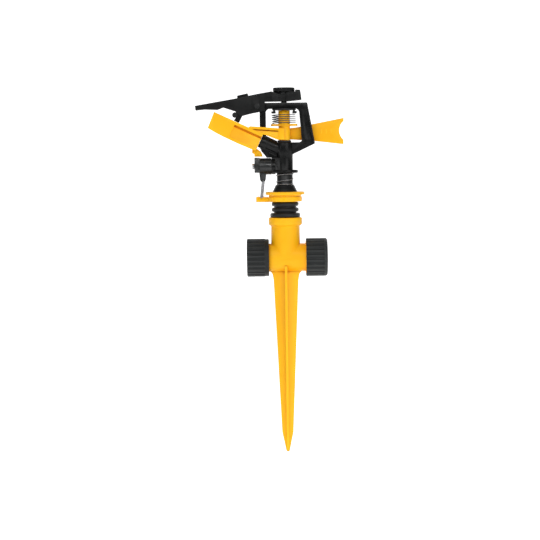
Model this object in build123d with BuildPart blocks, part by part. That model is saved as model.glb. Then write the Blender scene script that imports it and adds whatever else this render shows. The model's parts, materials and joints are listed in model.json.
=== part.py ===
from build123d import *
import math
import os

os.makedirs("parts", exist_ok=True)

# Impact sprinkler on a ground spike.  Millimetres, +Z up, origin on the riser axis at the
# soil line.  The hose runs along X, the jet leaves towards -X, the front faces -Y.

# ---------------------------------------------------------------- driving dimensions
TIP_Z = -140.5            # point of the spike below the soil line
TEE_Z = 21.3              # height of the hose axis
TEE_R = 11.5              # outer radius of the horizontal tee
WATER_R = 8.0             # water passage through the tee
RIM_TOP = 54.3            # top of the riser socket
SOCKET_R = 10.6           # bore of the riser socket
SOCKET_BOTTOM = 33.5
COUPLING_R = 15.6         # outer radius of hose nut and end cap
SPIGOT_R = 13.2           # threaded outlet under the cap
HOSE_THREAD_R = 12.06     # crest radius of the 3/4 inch hose thread in the nut
FLUTES = 24               # grip flutes round the nut and the cap
NUT_BOTTOM = 39.0         # lower end of the bearing nut inside the socket
NUT_TOP = 75.3            # top of the bearing nut's neck, which carries the collars
TUBE_R = 6.5              # bearing tube
TUBE_BORE_R = 4.0
BODY_BOTTOM = 90.7        # underside of the bridge's ring flange
BODY_TOP = 115.7          # top of the bridge's hub
BRIDGE_HALF = 2.8         # half thickness of the bridge frame
BAR_BOTTOM = 143.1        # top bar of the bridge
BAR_TOP = 148.0
TRIP_Z = 96.3             # axis of the trip lever
FLAP_PIVOT = (-21.9, 145.3)
COLLAR_SEAT = 155.0       # top of the flap's floor under the adjuster's collar
ARM_BOTTOM = 117.4
ARM_SLEEVE_TOP = 141.6
PIN_R = 2.0               # fulcrum pin
POST_R = 2.35             # threaded post under the range knob
RUN = 0.1                 # radial clearance of the running fits
JET_ANGLE = 25.0          # rise of the jet above the horizontal
NOZZLE_END = (-19.1, 117.1)
ARM_FRONT = -6.8          # front faces of the arm's neck and channel
ARM_INNER = -3.1          # their back faces, just clear of the bridge's left post
ARM_BACK = 5.0            # back edge of the channel's lips

JET = Vector(-math.cos(math.radians(JET_ANGLE)), 0, math.sin(math.radians(JET_ANGLE)))
JET_UP = Vector(math.sin(math.radians(JET_ANGLE)), 0, math.cos(math.radians(JET_ANGLE)))
NOZZLE = Vector(NOZZLE_END[0], 0, NOZZLE_END[1])
HOSE_AXIS = Axis((0, 0, TEE_Z), (1, 0, 0))


# ---------------------------------------------------------------- shared shapes
def turned(profile, axis=Axis.Z, mode=Mode.ADD):
    """Revolve a closed outline of (x, z) points about an axis."""
    with BuildSketch(Plane.XZ) as section:
        with BuildLine():
            Polyline(*profile, close=True)
        make_face()
    revolve(section.sketch, axis=axis, mode=mode)


def ring(r_outer, r_inner, z_low, z_high):
    """Plain ring about the riser axis."""
    turned([(r_inner, z_low), (r_outer, z_low), (r_outer, z_high), (r_inner, z_high)])


def ring_x(r_outer, r_inner, x_low, x_high, z_axis=TEE_Z, mode=Mode.ADD):
    """Plain ring about an axis along X."""
    profile = [(x_low, z_axis + r_inner), (x_high, z_axis + r_inner)]
    profile += [(x_high, z_axis + r_outer), (x_low, z_axis + r_outer)]
    turned(profile, Axis((0, 0, z_axis), (1, 0, 0)), mode)


def slab(outline, y_front, y_back, mode=Mode.ADD):
    """Plate with an outline in X and Z, from y_front to y_back."""
    with BuildSketch(Plane.XZ.offset(-y_front)) as section:
        with BuildLine():
            Polyline(*outline, close=True)
        make_face()
    extrude(section.sketch, amount=y_front - y_back, mode=mode)


def cross_pin(x, z, radius, y_front, y_back, mode=Mode.ADD):
    """Cylinder along Y."""
    with BuildSketch(Plane.XZ.offset(-y_front)) as section:
        with Locations((x, z)):
            Circle(radius)
    extrude(section.sketch, amount=y_front - y_back, mode=mode)


def jet_slab(outline, y_front, y_back, mode=Mode.ADD):
    """Plate with an outline in (distance along the jet, height across it)."""
    base = Plane(origin=(NOZZLE.X, y_front, NOZZLE.Z), x_dir=JET, z_dir=(0, 1, 0))
    with BuildSketch(base) as section:
        with BuildLine():
            Polyline(*outline, close=True)
        make_face()
    extrude(section.sketch, amount=y_back - y_front, mode=mode)


def barrel(radius, start, length, mode=Mode.ADD):
    """Cylinder on the jet axis, from start along the jet (0 is the nozzle's end) backwards."""
    with BuildSketch(Plane(origin=NOZZLE + JET * start, z_dir=JET)) as section:
        Circle(radius)
    extrude(section.sketch, amount=-length, mode=mode)


def flutes(x_low, x_high):
    """Grip flutes round a coupling, cut along the hose axis."""
    groove_r = 1.5
    with BuildSketch(Plane(origin=(x_low, 0, TEE_Z), x_dir=(0, 1, 0), z_dir=(1, 0, 0))) as section:
        with PolarLocations(COUPLING_R + 0.65, FLUTES):
            Circle(groove_r)
    extrude(section.sketch, amount=x_high - x_low, mode=Mode.SUBTRACT)


def tee_outside(mode=Mode.ADD):
    """Outer shape of the tee, its two spigots and the riser socket."""
    ring_x(TEE_R, 0, -14.4, 16.5, mode=mode)
    ring_x(9.6, 0, -18.5, -14.3, mode=mode)
    ring_x(12.0, 0, -20.4, -18.4, mode=mode)
    ring_x(SPIGOT_R, 0, 16.4, 28.0, mode=mode)
    turned([(0, TEE_Z), (11.5, TEE_Z), (11.9, 27.0), (11.7, 47.2), (13.7, 48.7),
            (13.7, RIM_TOP - 0.5), (13.2, RIM_TOP), (0, RIM_TOP)], mode=mode)


# ---------------------------------------------------------------- spike, tee and socket
RIB_HALF = 1.05           # half thickness of the crossed ribs
side_rib = [(1.4, TIP_Z + 1.0), (4.65, -124.0), (10.2, 2.0), (10.6, 5.0)]
flare = [(11.1, 7.6), (12.2, 9.2), (14.2, 10.4), (14.2, 13.0)]
front_rise = [(10.9, 10.0), (10.6, 14.8)]

with BuildPart() as spike_stake:
    for plane, top in ((Plane.XZ, flare), (Plane.YZ, front_rise)):
        with BuildSketch(plane) as rib:
            with BuildLine():
                right = Polyline(*side_rib, *top)
                left = Polyline(*[(-x, z) for x, z in side_rib + top])
                Line(right @ 1, left @ 1)
                ThreePointArc(left @ 0, (0, TIP_Z), right @ 0)
            make_face()
        extrude(amount=RIB_HALF, both=True)
    tee_outside(Mode.SUBTRACT)

with BuildPart() as tee_body:
    tee_outside()
    ring_x(WATER_R, 0, -20.5, 28.1, mode=Mode.SUBTRACT)
    turned([(0, TEE_Z), (WATER_R, TEE_Z), (WATER_R, SOCKET_BOTTOM), (SOCKET_R, SOCKET_BOTTOM),
            (SOCKET_R, RIM_TOP + 0.1), (0, RIM_TOP + 0.1)], mode=Mode.SUBTRACT)

# ---------------------------------------------------------------- hose nut and its washer
nut_profile = [(-13.8, 11.9), (-13.8, 14.8), (-14.4, 15.3), (-16.7, 15.3), (-17.3, COUPLING_R),
               (-31.2, COUPLING_R), (-31.9, 14.9), (-31.9, HOSE_THREAD_R), (-22.9, HOSE_THREAD_R),
               (-22.9, 12.4), (-17.9, 12.4), (-17.9, 9.9), (-14.8, 9.9), (-14.8, 11.9)]
with BuildPart() as inlet_nut:
    turned([(x, TEE_Z + r) for x, r in nut_profile], HOSE_AXIS)
    flutes(-31.95, -17.3)

with BuildPart() as inlet_washer:
    ring_x(12.0, 7.6, -22.6, -20.45)

# ---------------------------------------------------------------- end cap and its washer
CAP_BORE_R = 13.35
cap_profile = [(16.7, CAP_BORE_R), (16.7, 15.1), (17.2, COUPLING_R), (33.0, COUPLING_R),
               (34.2, 14.6), (34.2, 0), (30.2, 0), (30.2, CAP_BORE_R)]
with BuildPart() as end_cap:
    turned([(x, TEE_Z + r) for x, r in cap_profile], HOSE_AXIS)
    flutes(16.6, 31.6)

with BuildPart() as cap_washer:
    ring_x(12.9, 7.6, 28.1, 30.1)

# ---------------------------------------------------------------- bearing nut
NECK_R = 7.9
fin = [(9.0, 0), (10.4, 0), (11.1, 0.8), (11.1, 2.4), (10.4, 3.2), (9.0, 3.2)]
with BuildPart() as bearing_nut:
    turned([(6.6, NUT_BOTTOM), (10.4, NUT_BOTTOM), (10.4, RIM_TOP), (11.6, RIM_TOP), (12.3, 55.2),
            (12.3, 57.2), (11.5, 58.0), (9.2, 58.0), (9.2, 66.8), (NECK_R, 66.8),
            (NECK_R, NUT_TOP), (6.6, NUT_TOP)])
    for z in (59.1, 63.7):
        turned([(r, z + dz) for r, dz in fin])

# ---------------------------------------------------------------- bearing tube and thrust washers
with BuildPart() as bearing_tube:
    turned([(TUBE_BORE_R, 35.5), (8.4, 35.5), (8.4, 37.0), (TUBE_R, 37.0), (TUBE_R, BODY_BOTTOM),
            (5.2, BODY_BOTTOM), (5.2, 99.0), (TUBE_BORE_R, 99.0)])

with BuildPart() as rubber_thrust_washer:
    ring(9.4, TUBE_R + RUN, 37.0, 37.95)

with BuildPart() as nylon_thrust_washer:
    ring(9.0, TUBE_R + RUN, 37.95, 38.9)

# ---------------------------------------------------------------- trip collars
COLLAR_BORE_R = NECK_R + RUN
LOWER_FINGER_DEG = 166.5
UPPER_FINGER_DEG = 90.0
with BuildPart() as lower_collar:
    turned([(COLLAR_BORE_R, 67.4), (13.5, 67.4), (13.9, 67.8), (13.9, 71.0), (13.5, 71.4),
            (COLLAR_BORE_R, 71.4)])
    finger_plane = Plane.XY.offset(67.0).rotated((0, 0, LOWER_FINGER_DEG))
    with BuildSketch(finger_plane) as lower_finger:
        with BuildLine():
            Polyline((8.6, -3.6), (19.5, -3.0), (23.4, -2.4), (24.2, -1.4), (24.2, 1.4),
                     (23.4, 2.4), (19.5, 3.0), (8.6, 3.6), close=True)
        make_face()
    extrude(amount=4.1)
    with BuildSketch(finger_plane.offset(4.0)) as finger_bumps:
        with Locations((18.4, 0), (22.4, 0)):
            Rectangle(1.2, 4.4)
    extrude(amount=0.5)

with BuildPart() as upper_collar:
    turned([(COLLAR_BORE_R, 71.6), (13.3, 71.6), (13.3, 73.0), (15.6, 73.0), (16.0, 73.4),
            (16.0, 75.0), (15.6, 75.4), (COLLAR_BORE_R, 75.4)])
    with BuildSketch(Plane.XY.offset(73.0).rotated((0, 0, UPPER_FINGER_DEG))) as upper_finger:
        with BuildLine():
            Polyline((12.0, -3.8), (20.0, -3.0), (21.6, -1.6), (21.6, 1.6), (20.0, 3.0),
                     (12.0, 3.8), close=True)
        make_face()
    extrude(amount=2.4)

# ---------------------------------------------------------------- dust cone and seat spring
with BuildPart() as dust_cone:
    turned([(TUBE_R + RUN, 75.5), (9.9, 75.5), (9.9, 76.0), (7.5, 81.0), (TUBE_R + RUN, 81.0)])

with BuildPart() as seat_spring:
    ring(7.4, 6.65, 81.1, 90.6)

# ---------------------------------------------------------------- bridge: the sprinkler's body
RING_TOP = 93.3
BOSS_END = -10.7          # face of the boss towards the trip lever
LIP_R = 5.9               # lip on the boss that keeps grit out of the lever's recess
LIP_LENGTH = 0.9
LAND = 0.6                # raised land across the nozzle's end face, and its half width
LAND_HALF = 3.0
window_corner = 2.2
with BuildPart() as sprinkler_body:
    turned([(0, BODY_BOTTOM), (10.4, BODY_BOTTOM), (10.9, 91.2), (10.9, 92.8), (10.4, RING_TOP),
            (6.8, RING_TOP), (6.8, 106.0), (6.9, 106.3), (6.9, BODY_TOP - 0.4),
            (6.5, BODY_TOP), (0, BODY_TOP)])
    # web to the right post
    slab([(2.0, 103.6), (6.5, 105.8), (24.8, 114.4), (24.2, 117.9), (14.3, 117.0),
          (12.6, BODY_TOP), (2.0, BODY_TOP)], -BRIDGE_HALF, BRIDGE_HALF)
    # right post and top bar
    slab([(24.8, 114.4), (24.9, 115.2), (19.1, 147.4), (18.5, BAR_TOP), (-20.0, BAR_TOP),
          (-20.0, BAR_BOTTOM), (-14.9, BAR_BOTTOM - window_corner),
          (-14.9 + 0.4 * window_corner, BAR_BOTTOM - 0.4 * window_corner),
          (-14.9 + window_corner, BAR_BOTTOM), (12.3 - window_corner, BAR_BOTTOM),
          (12.3 - 0.4 * window_corner, BAR_BOTTOM - 0.4 * window_corner),
          (12.3, BAR_BOTTOM - window_corner), (14.4, 116.6), (14.4, 114.4)],
         -BRIDGE_HALF, BRIDGE_HALF)
    # left post, standing on the nozzle barrel
    slab([(-20.0, BAR_TOP), (-20.0, 122.9), (-16.6, 121.4), (-14.9, 119.0), (-14.9, BAR_TOP)],
         -BRIDGE_HALF, BRIDGE_HALF)
    # ear for the flap's hinge pin
    slab([(-19.9, 147.6), (-23.6, 147.4), (-24.8, 146.2), (-24.8, 144.4), (-23.6, 143.2),
          (-19.9, 142.6)], -BRIDGE_HALF, BRIDGE_HALF)
    # lengthwise pockets that leave the right post with an I section
    for face, depth in ((-BRIDGE_HALF, 1.5), (BRIDGE_HALF, -1.5)):
        slab([(22.7, 117.2), (18.1, 143.4), (14.0, 142.6), (16.0, 118.2)], min(face, face + depth),
             max(face, face + depth), mode=Mode.SUBTRACT)
    # nozzle barrel with its collar, and the rib over it
    barrel(4.9, 0, 21.0)
    barrel(5.5, 0, 5.2)
    jet_slab([(0, 5.5), (-5.6, 5.5), (-5.6, -5.5), (0, -5.5)], -4.0, 4.0)
    jet_slab([(LAND, 5.5), (-1.0, 5.5), (-1.0, -5.5), (LAND, -5.5)], -LAND_HALF, LAND_HALF)
    jet_slab([(-0.1, 5.4), (-11.9, 5.4), (-14.6, 4.2), (-16.4, 3.0), (-0.1, 3.0)], -1.3, 1.3)
    # web below the barrel
    slab([(-20.6, 112.6), (-18.7, 108.4), (-16.6, 106.0), (-14.6, 103.35), (-10.6, 103.35),
          (-10.6, 100.5), (-5.0, 100.5), (-5.0, 110.0)], -2.6, 2.6)
    # two raised ribs along the jet on each side
    for side in (-1, 1):
        low, high = sorted((side * 2.0, side * 6.0))
        jet_slab([(-11.6, -0.9), (-11.6, 0.1), (-18.6, 0.1), (-18.6, -0.9)], low, high)
        low, high = sorted((side * 2.0, side * 4.0))
        jet_slab([(-9.9, -6.6), (-9.9, -5.6), (-16.6, -5.6), (-16.6, -6.6)], low, high)
    # boss that carries the trip lever's pin, with the block behind it
    ring_x(6.6, 0, BOSS_END, -7.6, TRIP_Z)
    ring_x(LIP_R, LIP_R - 1.0, BOSS_END - LIP_LENGTH, BOSS_END, TRIP_Z)
    slab([(-7.8, 91.0), (-7.8, 103.2), (-2.0, 103.2), (-2.0, 91.0)], -5.6, 5.6)
    # threaded post for the range knob
    turned([(0, BAR_TOP - 1), (POST_R, BAR_TOP - 1), (POST_R, 158.0), (POST_R - 0.4, 158.4),
            (0, 158.4)])
    # water way: riser, elbow and nozzle
    turned([(0, BODY_BOTTOM - 0.1), (5.2, BODY_BOTTOM - 0.1), (5.2, 99.0), (TUBE_BORE_R, 99.0),
            (TUBE_BORE_R, 108.2), (0, 111.0)], mode=Mode.SUBTRACT)
    barrel(3.2, 0.1, 20.0, mode=Mode.SUBTRACT)
    barrel(4.2, LAND + 0.1, LAND + 4.1, mode=Mode.SUBTRACT)
    # flat seat of the hub washer, cut into the top of the barrel
    turned([(0, BODY_TOP), (6.0, BODY_TOP), (6.0, ARM_BOTTOM), (0, ARM_BOTTOM)],
           mode=Mode.SUBTRACT)
    # seats of the pins
    turned([(0, 112.8), (PIN_R, 112.8), (PIN_R, BODY_TOP + 0.1), (0, BODY_TOP + 0.1)],
           mode=Mode.SUBTRACT)
    turned([(0, BAR_BOTTOM - 0.1), (PIN_R, BAR_BOTTOM - 0.1), (PIN_R, 147.0), (0, 147.0)],
           mode=Mode.SUBTRACT)
    ring_x(1.5, 0, BOSS_END - 0.1, -7.4, TRIP_Z, mode=Mode.SUBTRACT)
    cross_pin(*FLAP_PIVOT, 1.5, -BRIDGE_HALF - 0.1, BRIDGE_HALF + 0.1, mode=Mode.SUBTRACT)

with BuildPart() as nozzle_insert:
    barrel(4.2, 0, 4.0)
    barrel(LAND_HALF, LAND, LAND + 1.0)
    barrel(2.2, LAND + 0.1, LAND + 4.2, mode=Mode.SUBTRACT)

# ---------------------------------------------------------------- fulcrum pin, washer and crown
with BuildPart() as fulcrum_pin:
    ring(PIN_R, 0, 112.9, 146.9)

with BuildPart() as hub_washer:
    ring(5.7, PIN_R, BODY_TOP, 117.3)

CROWN_FEET = 2
with BuildPart() as tension_crown:
    ring(9.8, PIN_R, 141.9, BAR_BOTTOM)
    with BuildSketch(Plane.XY.offset(139.3)) as crown_feet:
        with PolarLocations(8.6, CROWN_FEET):
            Rectangle(3.6, 4.2)
    extrude(amount=1.8)
    with BuildSketch(Plane.XY.offset(141.0)) as crown_stems:
        with PolarLocations(8.1, CROWN_FEET):
            Rectangle(1.7, 4.2)
    extrude(amount=1.0)

# ---------------------------------------------------------------- impact arm
NOTCH_CENTRE = (55.0, 124.9)
NOTCH_R = 9.9
CHANNEL_TOP = 5.8         # edges of the channel, measured across the jet
CHANNEL_LOW = -9.6
SPOON_START = 25.0        # where the deep channel ends and the spoon begins, along the jet
FACE_GAP = 0.65           # from the nozzle's end face to the channel, which clears the land too
with BuildPart() as impact_arm:
    turned([(0, ARM_BOTTOM), (4.87, ARM_BOTTOM), (4.87, 127.0), (4.75, 127.2),
            (4.75, ARM_SLEEVE_TOP), (0, ARM_SLEEVE_TOP)])
    # ears that the spring sits on
    with BuildSketch(Plane.XY.offset(129.1)) as ears:
        SlotOverall(21.8, 9.0)
    extrude(amount=1.6)
    # tail behind the right post, with a notched end and three low ribs across each face
    slab([(0, 118.1), (6.0, 118.0), (24.8, 116.6), (48.5, 113.7), (48.8, 135.2), (9.2, 127.7),
          (0, 127.0)], 3.1, 5.6)
    cross_pin(*NOTCH_CENTRE, NOTCH_R, 3.0, 5.7, mode=Mode.SUBTRACT)
    for x in (30.0, 34.0, 38.0):
        slab([(x, 122.6), (x + 1.0, 122.5), (x + 1.0, 126.4), (x, 126.3)], 2.95, 5.75)
    # neck in front of the left post
    slab([(0, 118.0), (-5.3, 117.9), (-15.3, 121.8), (-17.6, 122.6), (-28.0, 125.0),
          (-29.0, 128.4), (-27.9, 129.1), (-3.3, 127.1), (0, 127.0)], ARM_FRONT, ARM_INNER)
    # groove under the neck's top flange, and the shallow panel below the groove
    slab([(-4.9, 125.3), (-4.9, 124.2), (-25.6, 125.9), (-27.0, 127.0)],
         ARM_FRONT - 0.1, ARM_FRONT + 2.8, mode=Mode.SUBTRACT)
    slab([(-4.9, 124.3), (-4.9, 119.9), (-6.2, 119.6), (-15.8, 123.2), (-23.5, 125.2),
          (-24.5, 126.0)], ARM_FRONT - 0.1, ARM_FRONT + 0.4, mode=Mode.SUBTRACT)
    # channel in front of the nozzle: a front wall that slopes outwards below, lips above and below
    wall_base = Plane(origin=NOZZLE + JET * FACE_GAP, x_dir=(0, -1, 0), z_dir=JET)
    with BuildSketch(wall_base) as front_wall:
        with BuildLine():
            Polyline((-ARM_INNER, 4.8), (3.7, 4.8), (3.7, 1.9), (5.2, 1.2), (6.5, -8.0),
                     (-ARM_INNER, -8.0), close=True)
        make_face()
    extrude(amount=SPOON_START)
    jet_slab([(FACE_GAP, 3.2), (44.35, 3.2), (44.5, CHANNEL_TOP), (FACE_GAP, CHANNEL_TOP)],
             ARM_FRONT, ARM_INNER)
    jet_slab([(4.4, 3.2), (44.35, 3.2), (44.5, CHANNEL_TOP), (4.4, CHANNEL_TOP)],
             ARM_FRONT, ARM_BACK)
    jet_slab([(FACE_GAP, -7.3), (FACE_GAP, -9.0), (6.0, -9.4), (16.0, -9.7), (29.6, -9.5),
              (37.0, -9.1), (43.9, -8.3), (44.0, -6.2), (30.0, -7.2), (16.0, -7.4)],
             ARM_FRONT, ARM_BACK)
    # spoon: flush front face, curved deflector behind it
    jet_slab([(SPOON_START, -9.5), (29.6, -9.5), (37.0, -9.1), (43.9, -8.3), (44.5, CHANNEL_TOP),
              (SPOON_START, CHANNEL_TOP)], ARM_FRONT, ARM_INNER)
    spoon_base = Plane(origin=NOZZLE + JET_UP * -8.2, x_dir=JET, z_dir=JET_UP)
    with BuildSketch(spoon_base) as spoon:
        with BuildLine():
            curve = ThreePointArc((SPOON_START, 3.2), (36.4, 1.2), (43.2, -5.0))
            Polyline(curve @ 1, (43.9, -5.0), (43.9, 4.0), (SPOON_START, 4.0), curve @ 0)
        make_face()
    extrude(amount=13.0)
    # stop lug that the trip lever catches
    slab([(-26.5, 110.6), (-26.5, 107.2), (-24.7, 106.5), (-24.7, 104.3), (-17.9, 104.3),
          (-18.5, 106.6), (-19.6, 108.6), (-22.8, 110.9), (-24.0, 111.6)], -0.6, 2.4)
    # bore for the fulcrum pin
    turned([(0, ARM_BOTTOM - 0.1), (PIN_R + RUN, ARM_BOTTOM - 0.1),
            (PIN_R + RUN, ARM_SLEEVE_TOP + 0.1), (0, ARM_SLEEVE_TOP + 0.1)], mode=Mode.SUBTRACT)

with BuildPart() as arm_spring:
    ring(10.2, 9.2, 130.85, 139.2)

# ---------------------------------------------------------------- trip lever, its pin and wire
CAM_HALF = 6.2
WIRE_R = 0.6
with BuildPart() as trip_wire:
    wire_top = Vector(-17.4, 0, 87.0)
    wire_tip = Vector(-19.2, 0, 71.0)
    wire_way = wire_tip - wire_top
    for side in (-0.65, 0.65):
        with BuildSketch(Plane(origin=wire_top + Vector(side, 0, 0), z_dir=wire_way)):
            Circle(WIRE_R)
        extrude(amount=wire_way.length)
    with BuildSketch(Plane.YZ.offset(wire_tip.X - 0.9)):
        with Locations((0, wire_tip.Z)):
            Circle(WIRE_R)
    extrude(amount=1.8)

with BuildPart() as trip_lever:
    ring_x(6.8, 0, -20.6, -10.8, TRIP_Z)
    with BuildSketch(Plane.YZ.offset(-24.7)) as cam:
        with BuildLine():
            Polyline((-CAM_HALF, TRIP_Z + 7.2), (-CAM_HALF, TRIP_Z - 3.6), (-5.6, TRIP_Z - 4.8),
                     (-4.6, TRIP_Z - 5.2), (4.6, TRIP_Z - 5.2), (5.6, TRIP_Z - 4.8),
                     (CAM_HALF, TRIP_Z - 3.6), (CAM_HALF, TRIP_Z + 5.4), (5.4, TRIP_Z + 6.8),
                     (4.2, TRIP_Z + 7.2), close=True)
        make_face()
    extrude(amount=4.2)
    # forked bracket that grips the wire
    slab([(-20.9, 93.0), (-20.9, 91.0), (-20.3, 85.2), (-19.4, 83.9), (-16.6, 83.9),
          (-15.7, 85.2), (-15.1, 91.0), (-15.1, 93.0)], -2.4, 2.4)
    cross_pin(-18.0, 83.9, 1.0, -2.5, 2.5, mode=Mode.SUBTRACT)
    add(trip_wire.part, mode=Mode.SUBTRACT)
    ring_x(1.5 + RUN, 0, -24.8, -10.7, TRIP_Z, mode=Mode.SUBTRACT)
    ring_x(4.6, 0, -14.4, -10.7, TRIP_Z, mode=Mode.SUBTRACT)
    ring_x(LIP_R + RUN, 0, BOSS_END - LIP_LENGTH - RUN, -10.7, TRIP_Z, mode=Mode.SUBTRACT)

with BuildPart() as trip_pin:
    ring_x(2.3, 0, -26.6, -24.8, TRIP_Z)
    ring_x(1.5, 0, -24.9, -7.5, TRIP_Z)

with BuildPart() as trip_spring:
    ring_x(4.3, 3.2, -14.3, -10.95, TRIP_Z)

# ---------------------------------------------------------------- flap that breaks up the jet
CHEEK_IN = 3.1
CHEEK_OUT = 4.9
BEAK_HALF = 4.6
LEG_PIN = (-40.2, 138.5)
LEG_PIN_R = 2.2
REAR_HALF = 6.0
with BuildPart() as flap:
    # beak
    slab([(-72.7, 146.3), (-72.1, 142.6), (-64.9, 143.3), (-54.4, 142.9), (-49.7, 144.7),
          (-39.4, 141.3), (-37.4, 138.4), (-34.6, 137.6), (-26.4, 139.6), (-26.4, 154.4),
          (-28.3, 154.0), (-38.4, 152.0)], -BEAK_HALF, BEAK_HALF)
    # leg that trips on the channel's edge, with its foot cut parallel to it
    slab([(-39.3, 142.0), (-39.3, 136.4), (-41.0, 134.3), (-40.6, 133.8), (-37.3, 132.2),
          (-36.6, 132.9), (-34.0, 138.0), (-33.0, 142.0)], -2.5, 2.5)
    cross_pin(*LEG_PIN, LEG_PIN_R, -2.5, 2.5, mode=Mode.SUBTRACT)
    # raised tab on the top
    slab([(-38.1, 151.8), (-38.1, 154.2), (-29.6, 156.0), (-28.8, 153.6)], -2.6, 2.6)
    # cheeks beside the bridge, joined over its top bar
    for side in (-1, 1):
        low, high = sorted((side * CHEEK_IN, side * CHEEK_OUT))
        slab([(-26.5, 139.6), (-19.6, 140.9), (-15.6, 141.6), (-15.6, 156.0), (-26.5, 154.3)],
             low, high)
        low, high = sorted((side * CHEEK_OUT, side * (CHEEK_OUT + 0.9)))
        slab([(-20.0, 140.9), (-15.6, 141.6), (-15.6, 155.8), (-20.0, 155.2)], low, high)
        cross_pin(*FLAP_PIVOT, 2.5, low, high)
    slab([(-26.5, 149.0), (-9.9, 149.0), (-9.9, 157.3), (-26.5, 154.4)], -CHEEK_OUT, CHEEK_OUT)
    # rear block under the range knob
    slab([(-10.0, 149.0), (4.0, 149.2), (14.3, 150.2), (13.7, 155.4), (13.1, 158.3), (9.3, 158.4),
          (9.3, 156.9), (-10.0, 156.9)], -REAR_HALF, REAR_HALF)
    # recesses in its front: one in front of the post, one at the upper left
    slab([(-4.3, 148.0), (2.0, 148.0), (2.0, 157.0), (-4.3, 157.0)], -REAR_HALF - 0.1, -3.5,
         mode=Mode.SUBTRACT)
    slab([(-9.8, 155.0), (-4.2, 155.0), (-4.2, 157.0), (-9.8, 157.0)], -REAR_HALF - 0.1, -3.5,
         mode=Mode.SUBTRACT)
    # well for the adjuster's collar, and the slot for the post
    turned([(0, COLLAR_SEAT), (4.9, COLLAR_SEAT), (4.9, 157.0), (0, 157.0)], mode=Mode.SUBTRACT)
    with BuildSketch(Plane.XY.offset(148.5)) as post_slot:
        SlotOverall(6.0, 5.1)
    extrude(amount=8.0, mode=Mode.SUBTRACT)
    cross_pin(*FLAP_PIVOT, 1.5 + RUN, -6.0, 6.0, mode=Mode.SUBTRACT)

with BuildPart() as flap_pivot_pin:
    cross_pin(*FLAP_PIVOT, 1.5, -6.4, 5.8)
    cross_pin(*FLAP_PIVOT, 2.1, -6.4, -5.9)

with BuildPart() as deflector_pin:
    cross_pin(*LEG_PIN, LEG_PIN_R, -3.4, 3.4)

# ---------------------------------------------------------------- range knob and its collar
KNOB_BOTTOM = 157.1
with BuildPart() as adjuster_collar:
    ring(4.3, POST_R + RUN, COLLAR_SEAT + 0.05, KNOB_BOTTOM)

KNOB_GRIPS = 30
with BuildPart() as range_knob:
    turned([(0, 159.4), (POST_R + RUN, 159.4), (POST_R + RUN, KNOB_BOTTOM), (8.5, KNOB_BOTTOM),
            (8.85, 157.5), (8.85, 159.8), (8.45, 160.2), (0, 160.2)])
    with BuildSketch(Plane.XY.offset(157.0)) as grips:
        with PolarLocations(9.15, KNOB_GRIPS):
            Circle(0.55)
    extrude(amount=3.3, mode=Mode.SUBTRACT)

# ---------------------------------------------------------------- write one file per piece
pieces = {
    "spike_stake": spike_stake, "tee_body": tee_body, "inlet_nut": inlet_nut, "inlet_washer": inlet_washer,
    "end_cap": end_cap, "cap_washer": cap_washer, "bearing_nut": bearing_nut,
    "bearing_tube": bearing_tube, "rubber_thrust_washer": rubber_thrust_washer,
    "nylon_thrust_washer": nylon_thrust_washer, "lower_collar": lower_collar,
    "upper_collar": upper_collar, "dust_cone": dust_cone, "seat_spring": seat_spring,
    "sprinkler_body": sprinkler_body, "nozzle_insert": nozzle_insert,
    "fulcrum_pin": fulcrum_pin, "hub_washer": hub_washer, "tension_crown": tension_crown,
    "impact_arm": impact_arm, "arm_spring": arm_spring, "trip_wire": trip_wire,
    "trip_lever": trip_lever, "trip_pin": trip_pin, "trip_spring": trip_spring, "flap": flap,
    "flap_pivot_pin": flap_pivot_pin, "deflector_pin": deflector_pin,
    "adjuster_collar": adjuster_collar, "range_knob": range_knob,
}
for name, piece in pieces.items():
    piece.part.label = name
    export_step(piece.part, "parts/" + name + ".step")
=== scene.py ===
import json
import math

import bmesh
import bpy
from mathutils import Matrix, Vector


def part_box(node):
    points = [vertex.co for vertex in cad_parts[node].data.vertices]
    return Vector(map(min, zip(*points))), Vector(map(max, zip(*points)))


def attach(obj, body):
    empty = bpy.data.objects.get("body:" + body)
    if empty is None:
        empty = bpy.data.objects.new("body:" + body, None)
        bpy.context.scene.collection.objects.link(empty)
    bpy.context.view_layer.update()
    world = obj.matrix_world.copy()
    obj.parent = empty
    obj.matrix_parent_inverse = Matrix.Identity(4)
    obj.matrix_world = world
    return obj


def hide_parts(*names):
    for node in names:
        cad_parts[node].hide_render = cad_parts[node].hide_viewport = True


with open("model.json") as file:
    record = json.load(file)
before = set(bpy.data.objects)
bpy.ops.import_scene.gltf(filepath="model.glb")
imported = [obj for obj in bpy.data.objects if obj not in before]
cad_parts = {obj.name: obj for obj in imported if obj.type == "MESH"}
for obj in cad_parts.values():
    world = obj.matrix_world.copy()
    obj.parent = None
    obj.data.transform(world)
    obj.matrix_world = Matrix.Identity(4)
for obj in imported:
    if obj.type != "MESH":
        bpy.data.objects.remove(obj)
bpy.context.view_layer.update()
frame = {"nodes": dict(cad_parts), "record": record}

MM = 0.001
NODES = frame["nodes"]

# ---------------------------------------------------------------- places read from the frame
STAKE_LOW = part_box("spike_stake")[0]


# ---------------------------------------------------------------- small node helpers
def new_material(name):
    """Material with an empty node tree, its principled shader and the object coordinates."""
    material = bpy.data.materials.new(name)
    material.use_nodes = True
    tree = material.node_tree
    tree.nodes.clear()
    output = tree.nodes.new("ShaderNodeOutputMaterial")
    shader = tree.nodes.new("ShaderNodeBsdfPrincipled")
    coords = tree.nodes.new("ShaderNodeTexCoord")
    tree.links.new(shader.outputs["BSDF"], output.inputs["Surface"])
    return material, tree, shader, coords


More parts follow.
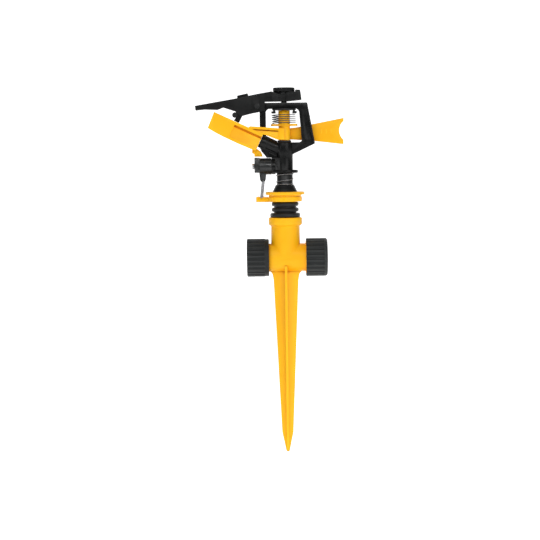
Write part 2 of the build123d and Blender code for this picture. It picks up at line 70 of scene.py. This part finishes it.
def noise(tree, coords, scale, detail=3.0, roughness=0.55, stretch=None):
    """Noise over the object's own coordinates, in features per metre; stretch scales the axes."""
    texture = tree.nodes.new("ShaderNodeTexNoise")
    texture.inputs["Scale"].default_value = scale
    texture.inputs["Detail"].default_value = detail
    texture.inputs["Roughness"].default_value = roughness
    source = coords.outputs["Object"]
    if stretch:
        mapping = tree.nodes.new("ShaderNodeMapping")
        mapping.inputs["Scale"].default_value = stretch
        tree.links.new(source, mapping.inputs["Vector"])
        source = mapping.outputs["Vector"]
    tree.links.new(source, texture.inputs["Vector"])
    return texture.outputs["Fac"]


def span(tree, value, low, high, start=0.3, end=0.7):
    """Maps a value from start..end to low..high."""
    mapped = tree.nodes.new("ShaderNodeMapRange")
    mapped.inputs["From Min"].default_value = start
    mapped.inputs["From Max"].default_value = end
    mapped.inputs["To Min"].default_value = low
    mapped.inputs["To Max"].default_value = high
    tree.links.new(value, mapped.inputs["Value"])
    return mapped.outputs["Result"]


def blend_colors(tree, factor, first, second):
    """Colour mixed from first to second; each is a plain colour or a socket."""
    mix = tree.nodes.new("ShaderNodeMix")
    mix.data_type = "RGBA"
    tree.links.new(factor, mix.inputs["Factor"])
    for colour, place in ((first, "A"), (second, "B")):
        socket = [s for s in mix.inputs if s.name == place and s.type == "RGBA"][0]
        if hasattr(colour, "is_linked"):
            tree.links.new(colour, socket)
        else:
            socket.default_value = (*colour, 1.0)
    return [s for s in mix.outputs if s.type == "RGBA"][0]


def bump(tree, shader, height, distance, strength=1.0, below=None):
    """Bump of a height in metres, on top of another bump if one is given."""
    node = tree.nodes.new("ShaderNodeBump")
    node.inputs["Strength"].default_value = strength
    node.inputs["Distance"].default_value = distance
    tree.links.new(height, node.inputs["Height"])
    if below:
        tree.links.new(below, node.inputs["Normal"])
    tree.links.new(node.outputs["Normal"], shader.inputs["Normal"])
    return node.outputs["Normal"]


# ---------------------------------------------------------------- materials
def paint_crease_shade(tree, colour, crease_shade):
    """Painted shade: mixes a darker colour into grooves and inner corners, where ambient occlusion
    finds the surface closed in.
    """
    occlusion = tree.nodes.new("ShaderNodeAmbientOcclusion")
    occlusion.samples = 8
    occlusion.inputs["Distance"].default_value = 3.5 * MM
    open_share = span(tree, occlusion.outputs["AO"], 0.0, 1.0, 0.25, 0.72)
    return blend_colors(tree, open_share, crease_shade, colour)


def moulded_plastic(name, base, shade, edge_wear_and_highlight, roughness, grain, glow=0.0, specular=0.5,
                    crease_shade=None):
    """Injection-moulded plastic: flow clouding, lighter edges (wear and painted highlight), painted
    shade in creases, uneven gloss, grain.
    """
    material, tree, shader, coords = new_material(name)
    clouds = noise(tree, coords, 55.0, 4.0, 0.6, stretch=(1.0, 1.0, 0.35))
    colour = blend_colors(tree, span(tree, clouds, 0.0, 1.0), base, shade)
    geometry = tree.nodes.new("ShaderNodeNewGeometry")
    # lighter convex edges: partly wear, partly a painted highlight where edges catch the light
    edges = span(tree, geometry.outputs["Pointiness"], 0.0, 0.6, 0.505, 0.56)
    colour = blend_colors(tree, edges, colour, edge_wear_and_highlight)
    # painted shade: a darker colour in grooves and inner corners
    if crease_shade:
        colour = paint_crease_shade(tree, colour, crease_shade)
    tree.links.new(colour, shader.inputs["Base Color"])
    smears = noise(tree, coords, 190.0, 5.0, 0.65)
    gloss = span(tree, smears, roughness - 0.07, roughness + 0.09, 0.35, 0.65)
    tree.links.new(gloss, shader.inputs["Roughness"])
    fine = noise(tree, coords, 5200.0, 2.0, 0.5)
    grain_normal = bump(tree, shader, fine, grain * MM)
    sink = noise(tree, coords, 85.0, 2.0, 0.5)
    bump(tree, shader, sink, 0.12 * MM, 0.6, grain_normal)
    shader.inputs["IOR"].default_value = 1.49
    shader.inputs["Specular IOR Level"].default_value = specular
    shader.inputs["Subsurface Weight"].default_value = glow
    shader.inputs["Subsurface Radius"].default_value = (1.0, 0.45, 0.1)
    shader.inputs["Subsurface Scale"].default_value = 1.5 * MM
    return material


def drawn_steel(name, base, dark, roughness):
    """Galvanised or turned steel: dull patches, fine draw lines and a little tarnish."""
    material, tree, shader, coords = new_material(name)
    patches = noise(tree, coords, 420.0, 4.0, 0.6)
    tree.links.new(blend_colors(tree, span(tree, patches, 0.0, 1.0), base, dark),
                   shader.inputs["Base Color"])
    shader.inputs["Metallic"].default_value = 1.0
    lines = noise(tree, coords, 2600.0, 2.0, 0.5, stretch=(1.0, 1.0, 0.15))
    tree.links.new(span(tree, lines, roughness - 0.08, roughness + 0.1),
                   shader.inputs["Roughness"])
    bump(tree, shader, lines, 0.02 * MM, 0.7)
    return material


def soft_rubber(name, base, shade):
    """Black rubber with a dusty, matte surface."""
    material, tree, shader, coords = new_material(name)
    dust = noise(tree, coords, 160.0, 5.0, 0.65)
    tree.links.new(blend_colors(tree, span(tree, dust, 0.0, 1.0), base, shade),
                   shader.inputs["Base Color"])
    tree.links.new(span(tree, dust, 0.72, 0.9), shader.inputs["Roughness"])
    bump(tree, shader, noise(tree, coords, 3500.0, 2.0), 0.02 * MM)
    return material


YELLOW = (0.91, 0.455, 0.007)
YELLOW_SHADE = (0.88, 0.415, 0.005)
# lighter edge colour: partly wear, partly painted highlight
YELLOW_EDGE_WEAR_AND_HIGHLIGHT = (0.95, 0.54, 0.02)
# painted shade for grooves and inner corners
YELLOW_CREASE_SHADE = (0.62, 0.20, 0.003)
ARM_YELLOW = (0.88, 0.425, 0.005)
BLACK = (0.0055, 0.006, 0.006)
BLACK_SHADE = (0.0095, 0.010, 0.010)
# lighter edge colour: partly wear, partly painted highlight
BLACK_EDGE_WEAR_AND_HIGHLIGHT = (0.035, 0.037, 0.037)
GREY_BLACK = (0.013, 0.0145, 0.0145)
GREY_SHADE = (0.018, 0.020, 0.020)
# lighter edge colour: partly wear, partly painted highlight
GREY_EDGE_WEAR_AND_HIGHLIGHT = (0.06, 0.063, 0.063)
FLAP_BLACK = (0.0030, 0.0034, 0.0034)
FLAP_SHADE = (0.0055, 0.006, 0.006)
# lighter edge colour: partly wear, partly painted highlight
FLAP_EDGE_WEAR_AND_HIGHLIGHT = (0.010, 0.0105, 0.0105)
BODY_BLACK = (0.0028, 0.0031, 0.0031)
BODY_SHADE = (0.0050, 0.0054, 0.0054)
# lighter edge colour: partly wear, partly painted highlight
BODY_EDGE_WEAR_AND_HIGHLIGHT = (0.0055, 0.006, 0.006)
# painted shade for grooves and inner corners
BLACK_CREASE_SHADE = (0.0006, 0.0006, 0.0006)
NUT_BLACK = (0.0085, 0.009, 0.009)

MATERIALS = {
    "spike_plastic": moulded_plastic("spike_plastic", YELLOW, YELLOW_SHADE, YELLOW_EDGE_WEAR_AND_HIGHLIGHT,
                                     0.42, 0.012, glow=0.10, specular=0.17,
                                     crease_shade=YELLOW_CREASE_SHADE),
    "arm_plastic": moulded_plastic("arm_plastic", ARM_YELLOW, YELLOW_SHADE, YELLOW_EDGE_WEAR_AND_HIGHLIGHT,
                                   0.36, 0.008, glow=0.10, specular=0.17,
                                   crease_shade=YELLOW_CREASE_SHADE),
    "collar_plastic": moulded_plastic("collar_plastic", YELLOW, YELLOW_SHADE, YELLOW_EDGE_WEAR_AND_HIGHLIGHT,
                                      0.34, 0.008, glow=0.10, specular=0.20),
    "coupling_plastic": moulded_plastic("coupling_plastic", GREY_BLACK, GREY_SHADE, GREY_EDGE_WEAR_AND_HIGHLIGHT,
                                        0.46, 0.014, specular=0.18),
    "bearing_plastic": moulded_plastic("bearing_plastic", NUT_BLACK, BLACK_SHADE, BLACK_EDGE_WEAR_AND_HIGHLIGHT,
                                       0.38, 0.010, specular=0.26, crease_shade=BLACK_CREASE_SHADE),
    "body_plastic": moulded_plastic("body_plastic", BODY_BLACK, BODY_SHADE, BODY_EDGE_WEAR_AND_HIGHLIGHT,
                                    0.27, 0.010, specular=0.20, crease_shade=BLACK_CREASE_SHADE),
    "lever_plastic": moulded_plastic("lever_plastic", NUT_BLACK, BLACK_SHADE, BLACK_EDGE_WEAR_AND_HIGHLIGHT,
                                     0.24, 0.006, specular=0.34, crease_shade=BLACK_CREASE_SHADE),
    "flap_plastic": moulded_plastic("flap_plastic", FLAP_BLACK, FLAP_SHADE, FLAP_EDGE_WEAR_AND_HIGHLIGHT,
                                    0.40, 0.014, specular=0.17, crease_shade=BLACK_CREASE_SHADE),
    "washer_plastic": moulded_plastic("washer_plastic", BLACK, BLACK_SHADE, BLACK_EDGE_WEAR_AND_HIGHLIGHT,
                                      0.36, 0.010, specular=0.16),
    # the third colour: lighter edges, partly wear and partly painted highlight
    "nylon": moulded_plastic("nylon", (0.72, 0.70, 0.63), (0.66, 0.64, 0.56), (0.8, 0.79, 0.74),
                             0.4, 0.008, glow=0.2),
    "seal_rubber": soft_rubber("seal_rubber", (0.012, 0.012, 0.012), (0.022, 0.022, 0.021)),
    "spring_steel": drawn_steel("spring_steel", (0.34, 0.34, 0.35), (0.20, 0.20, 0.21), 0.30),
    "arm_spring_steel": drawn_steel("arm_spring_steel", (0.10, 0.10, 0.105), (0.05, 0.05, 0.052),
                                    0.34),
    "pin_steel": drawn_steel("pin_steel", (0.42, 0.42, 0.43), (0.30, 0.30, 0.31), 0.26),
}


# ---------------------------------------------------------------- carried-over CAD pieces
EDGE_RADIUS = 0.25 * MM       # rounding that a mould leaves on every edge
EDGE_ANGLE = math.radians(32)


def finish_node(name, material):
    """Gives a CAD node its material and the small rounded edges that a mould leaves."""
    node = NODES[name]
    node.data.materials.clear()
    node.data.materials.append(MATERIALS[material])
    weld = node.modifiers.new("weld", "WELD")
    weld.merge_threshold = 0.002 * MM
    edge = node.modifiers.new("moulded_edge", "BEVEL")
    edge.width = EDGE_RADIUS
    edge.segments = 2
    edge.limit_method = "ANGLE"
    edge.angle_limit = EDGE_ANGLE
    edge.use_clamp_overlap = True
    edge.harden_normals = False
    node.data.shade_smooth()
    node.data.set_sharp_from_angle(angle=math.radians(50))


OWN_LOOKS = {"trip_lever": "lever_plastic"}      # nodes glossier than the rest of their slot

for record_entry in frame["record"]["subparts"]:
    node_name = record_entry["node"]
    finish_node(node_name, OWN_LOOKS.get(node_name, record_entry["material_slot"]))


# ---------------------------------------------------------------- mesh helpers
def mesh_piece(name, build, look, body, replaces=()):
    """A new piece from a function that fills a bmesh, riding on a body."""
    mesh = bpy.data.meshes.new(name)
    work = bmesh.new()
    build(work)
    bmesh.ops.recalc_face_normals(work, faces=work.faces[:])
    work.to_mesh(mesh)
    work.free()
    mesh.materials.append(MATERIALS[look])
    mesh.shade_smooth()
    mesh.set_sharp_from_angle(angle=math.radians(40))
    piece = bpy.data.objects.new(name, mesh)
    bpy.context.scene.collection.objects.link(piece)
    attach(piece, body)
    if replaces:
        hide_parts(*replaces)
    return piece


def tube_along(work, points, radius, sides=14):
    """Round wire with flat ends along a list of points, its frame carried along without twist."""
    rings = []
    up = None
    count = len(points)
    for i, point in enumerate(points):
        way = points[min(i + 1, count - 1)] - points[max(i - 1, 0)]
        way.normalize()
        if up is None:
            up = way.orthogonal().normalized()
        up = (up - way * up.dot(way)).normalized()
        side = way.cross(up)
        circle = []
        for k in range(sides):
            turn = 2 * math.pi * k / sides
            offset = (up * math.cos(turn) + side * math.sin(turn)) * radius
            circle.append(work.verts.new(point + offset))
        rings.append(circle)
    for first, second in zip(rings, rings[1:]):
        for k in range(sides):
            j = (k + 1) % sides
            work.faces.new((first[k], first[j], second[j], second[k]))
    work.faces.new(list(reversed(rings[0])))
    work.faces.new(rings[-1])


def coil_points(radius, z_low, z_high, turns, start_deg, dead=1.0, steps=40, wire=0.9, lean=0.0):
    """Points of a compression or torsion spring about Z with closed end coils, in metres."""
    points = []
    total = int(turns * steps)
    live = turns - 2 * dead
    for i in range(total + 1):
        turn = i / steps
        if turn < dead:
            rise = turn * wire
        elif turn > turns - dead:
            rise = z_high - z_low - (turns - turn) * wire
        else:
            free = z_high - z_low - 2 * dead * wire
            rise = dead * wire + free * (turn - dead) / live
        angle = math.radians(start_deg) + 2 * math.pi * turn
        shift = lean * rise / (z_high - z_low)
        points.append(Vector((radius * math.cos(angle) + shift, radius * math.sin(angle),
                              z_low + rise)) * MM)
    return points


# ---------------------------------------------------------------- springs, in millimetres
TRIP_AXIS_Z = 96.3        # height of the trip lever's axis


def seat_spring(work):
    """Light compression spring round the bearing tube, between the dust cone and the bridge."""
    tube_along(work, coil_points(6.99, 81.55, 90.15, 2.75, 215, dead=0.6, wire=0.5), 0.40 * MM)


def arm_spring(work):
    """Torsion spring that swings the arm back, leaning a little away from the post."""
    tube_along(work, coil_points(9.65, 131.3, 138.75, 4.75, 150, dead=0.15, wire=1.0, lean=-0.5),
               0.36 * MM)


def trip_spring(work):
    """Torsion spring inside the trip lever's rear recess, wound about the lever's axis."""
    turns, steps = 4.25, 36
    start, length, radius = -13.9, 2.5, 3.75
    points = []
    for i in range(int(turns * steps) + 1):
        angle = 2 * math.pi * i / steps
        along = start + length * i / (turns * steps)
        points.append(Vector((along, radius * math.cos(angle),
                              TRIP_AXIS_Z + radius * math.sin(angle))) * MM)
    tube_along(work, points, 0.3 * MM, sides=10)


mesh_piece("seat_spring_coil", seat_spring, "spring_steel", "head",
           ["seat_spring"])
mesh_piece("arm_spring_coil", arm_spring, "arm_spring_steel", "head",
           ["arm_spring"])
mesh_piece("trip_spring_coil", trip_spring, "spring_steel", "head",
           ["trip_spring"])


# ---------------------------------------------------------------- floor, lights and camera
def pale_stage():
    """Seamless pale floor that curves up behind the object."""
    floor_z = STAKE_LOW.z - 0.0005
    half, front, back, height, corner, corner_steps = 3.0, -0.9, 2.4, 3.4, 0.8, 12
    section = [(front, 0.0), (back - corner, 0.0)]
    for k in range(1, corner_steps + 1):
        turn = math.radians(90 * k / corner_steps)
        section.append((back - corner + corner * math.sin(turn), corner * (1 - math.cos(turn))))
    section.append((back, height))
    mesh = bpy.data.meshes.new("stage_floor")
    work = bmesh.new()
    rows = [[work.verts.new((x, y, floor_z + z)) for y, z in section] for x in (-half, half)]
    for i in range(len(section) - 1):
        work.faces.new((rows[0][i], rows[1][i], rows[1][i + 1], rows[0][i + 1]))
    work.to_mesh(mesh)
    work.free()
    mesh.shade_smooth()
    floor = bpy.data.objects.new("stage_floor", mesh)
    bpy.context.scene.collection.objects.link(floor)
    material = bpy.data.materials.new("stage_paper")
    material.use_nodes = True
    shader = material.node_tree.nodes["Principled BSDF"]
    shader.inputs["Base Color"].default_value = (0.93, 0.93, 0.93, 1)
    shader.inputs["Roughness"].default_value = 0.9
    shader.inputs["Emission Color"].default_value = (1, 1, 1, 1)
    shader.inputs["Emission Strength"].default_value = 0.75
    floor.data.materials.append(material)


def area_light(name, place, target, size, power):
    """Rectangular white softbox that faces a target."""
    data = bpy.data.lights.new(name, "AREA")
    data.shape = "RECTANGLE"
    data.size, data.size_y = size
    data.energy = power
    light = bpy.data.objects.new(name, data)
    light.location = place
    light.rotation_euler = (Vector(target) - Vector(place)).to_track_quat("-Z", "Y").to_euler()
    bpy.context.scene.collection.objects.link(light)


def studio():
    """Soft white surroundings with a key, a fill and a top light."""
    world = bpy.data.worlds.new("studio")
    world.use_nodes = True
    sky = world.node_tree.nodes["Background"]
    sky.inputs["Color"].default_value = (1, 1, 1, 1)
    sky.inputs["Strength"].default_value = 0.17
    bpy.context.scene.world = world
    middle = (0, 0, 0.05)
    area_light("key", (-0.7, -1.5, 0.9), middle, (1.1, 1.1), 9.8)
    area_light("fill", (0.9, -1.4, 0.5), middle, (1.0, 1.2), 7.0)
    area_light("front", (0.25, -1.5, 0.85), middle, (0.6, 0.4), 5)
    area_light("top", (0.1, 0.1, 1.6), middle, (1.2, 1.2), 4)


CAMERA_DISTANCE = 1.2
CAMERA_ELEVATION = math.radians(4.5)
CAMERA_ROLL = math.radians(0.75)
LOOK_AT = Vector((-13.15, 0.0, 11.0)) * MM
FRAME_WIDTH = 445.5 * MM      # what the image spans at the object


def camera():
    """Long-lens camera in front, a little above the object and turned by a small roll."""
    data = bpy.data.cameras.new("camera")
    data.sensor_width = 36.0
    data.lens = data.sensor_width * CAMERA_DISTANCE / FRAME_WIDTH
    data.clip_start = 0.05
    data.clip_end = 20
    view = bpy.data.objects.new("camera", data)
    away = Vector((0, -math.cos(CAMERA_ELEVATION), math.sin(CAMERA_ELEVATION)))
    view.location = LOOK_AT + away * CAMERA_DISTANCE
    aim = (-away).to_track_quat("-Z", "Y").to_matrix()
    view.rotation_euler = (aim @ Matrix.Rotation(-CAMERA_ROLL, 3, "Z")).to_euler()
    bpy.context.scene.collection.objects.link(view)
    bpy.context.scene.camera = view


pale_stage()
studio()
camera()
bpy.context.scene.view_settings.view_transform = "Standard"
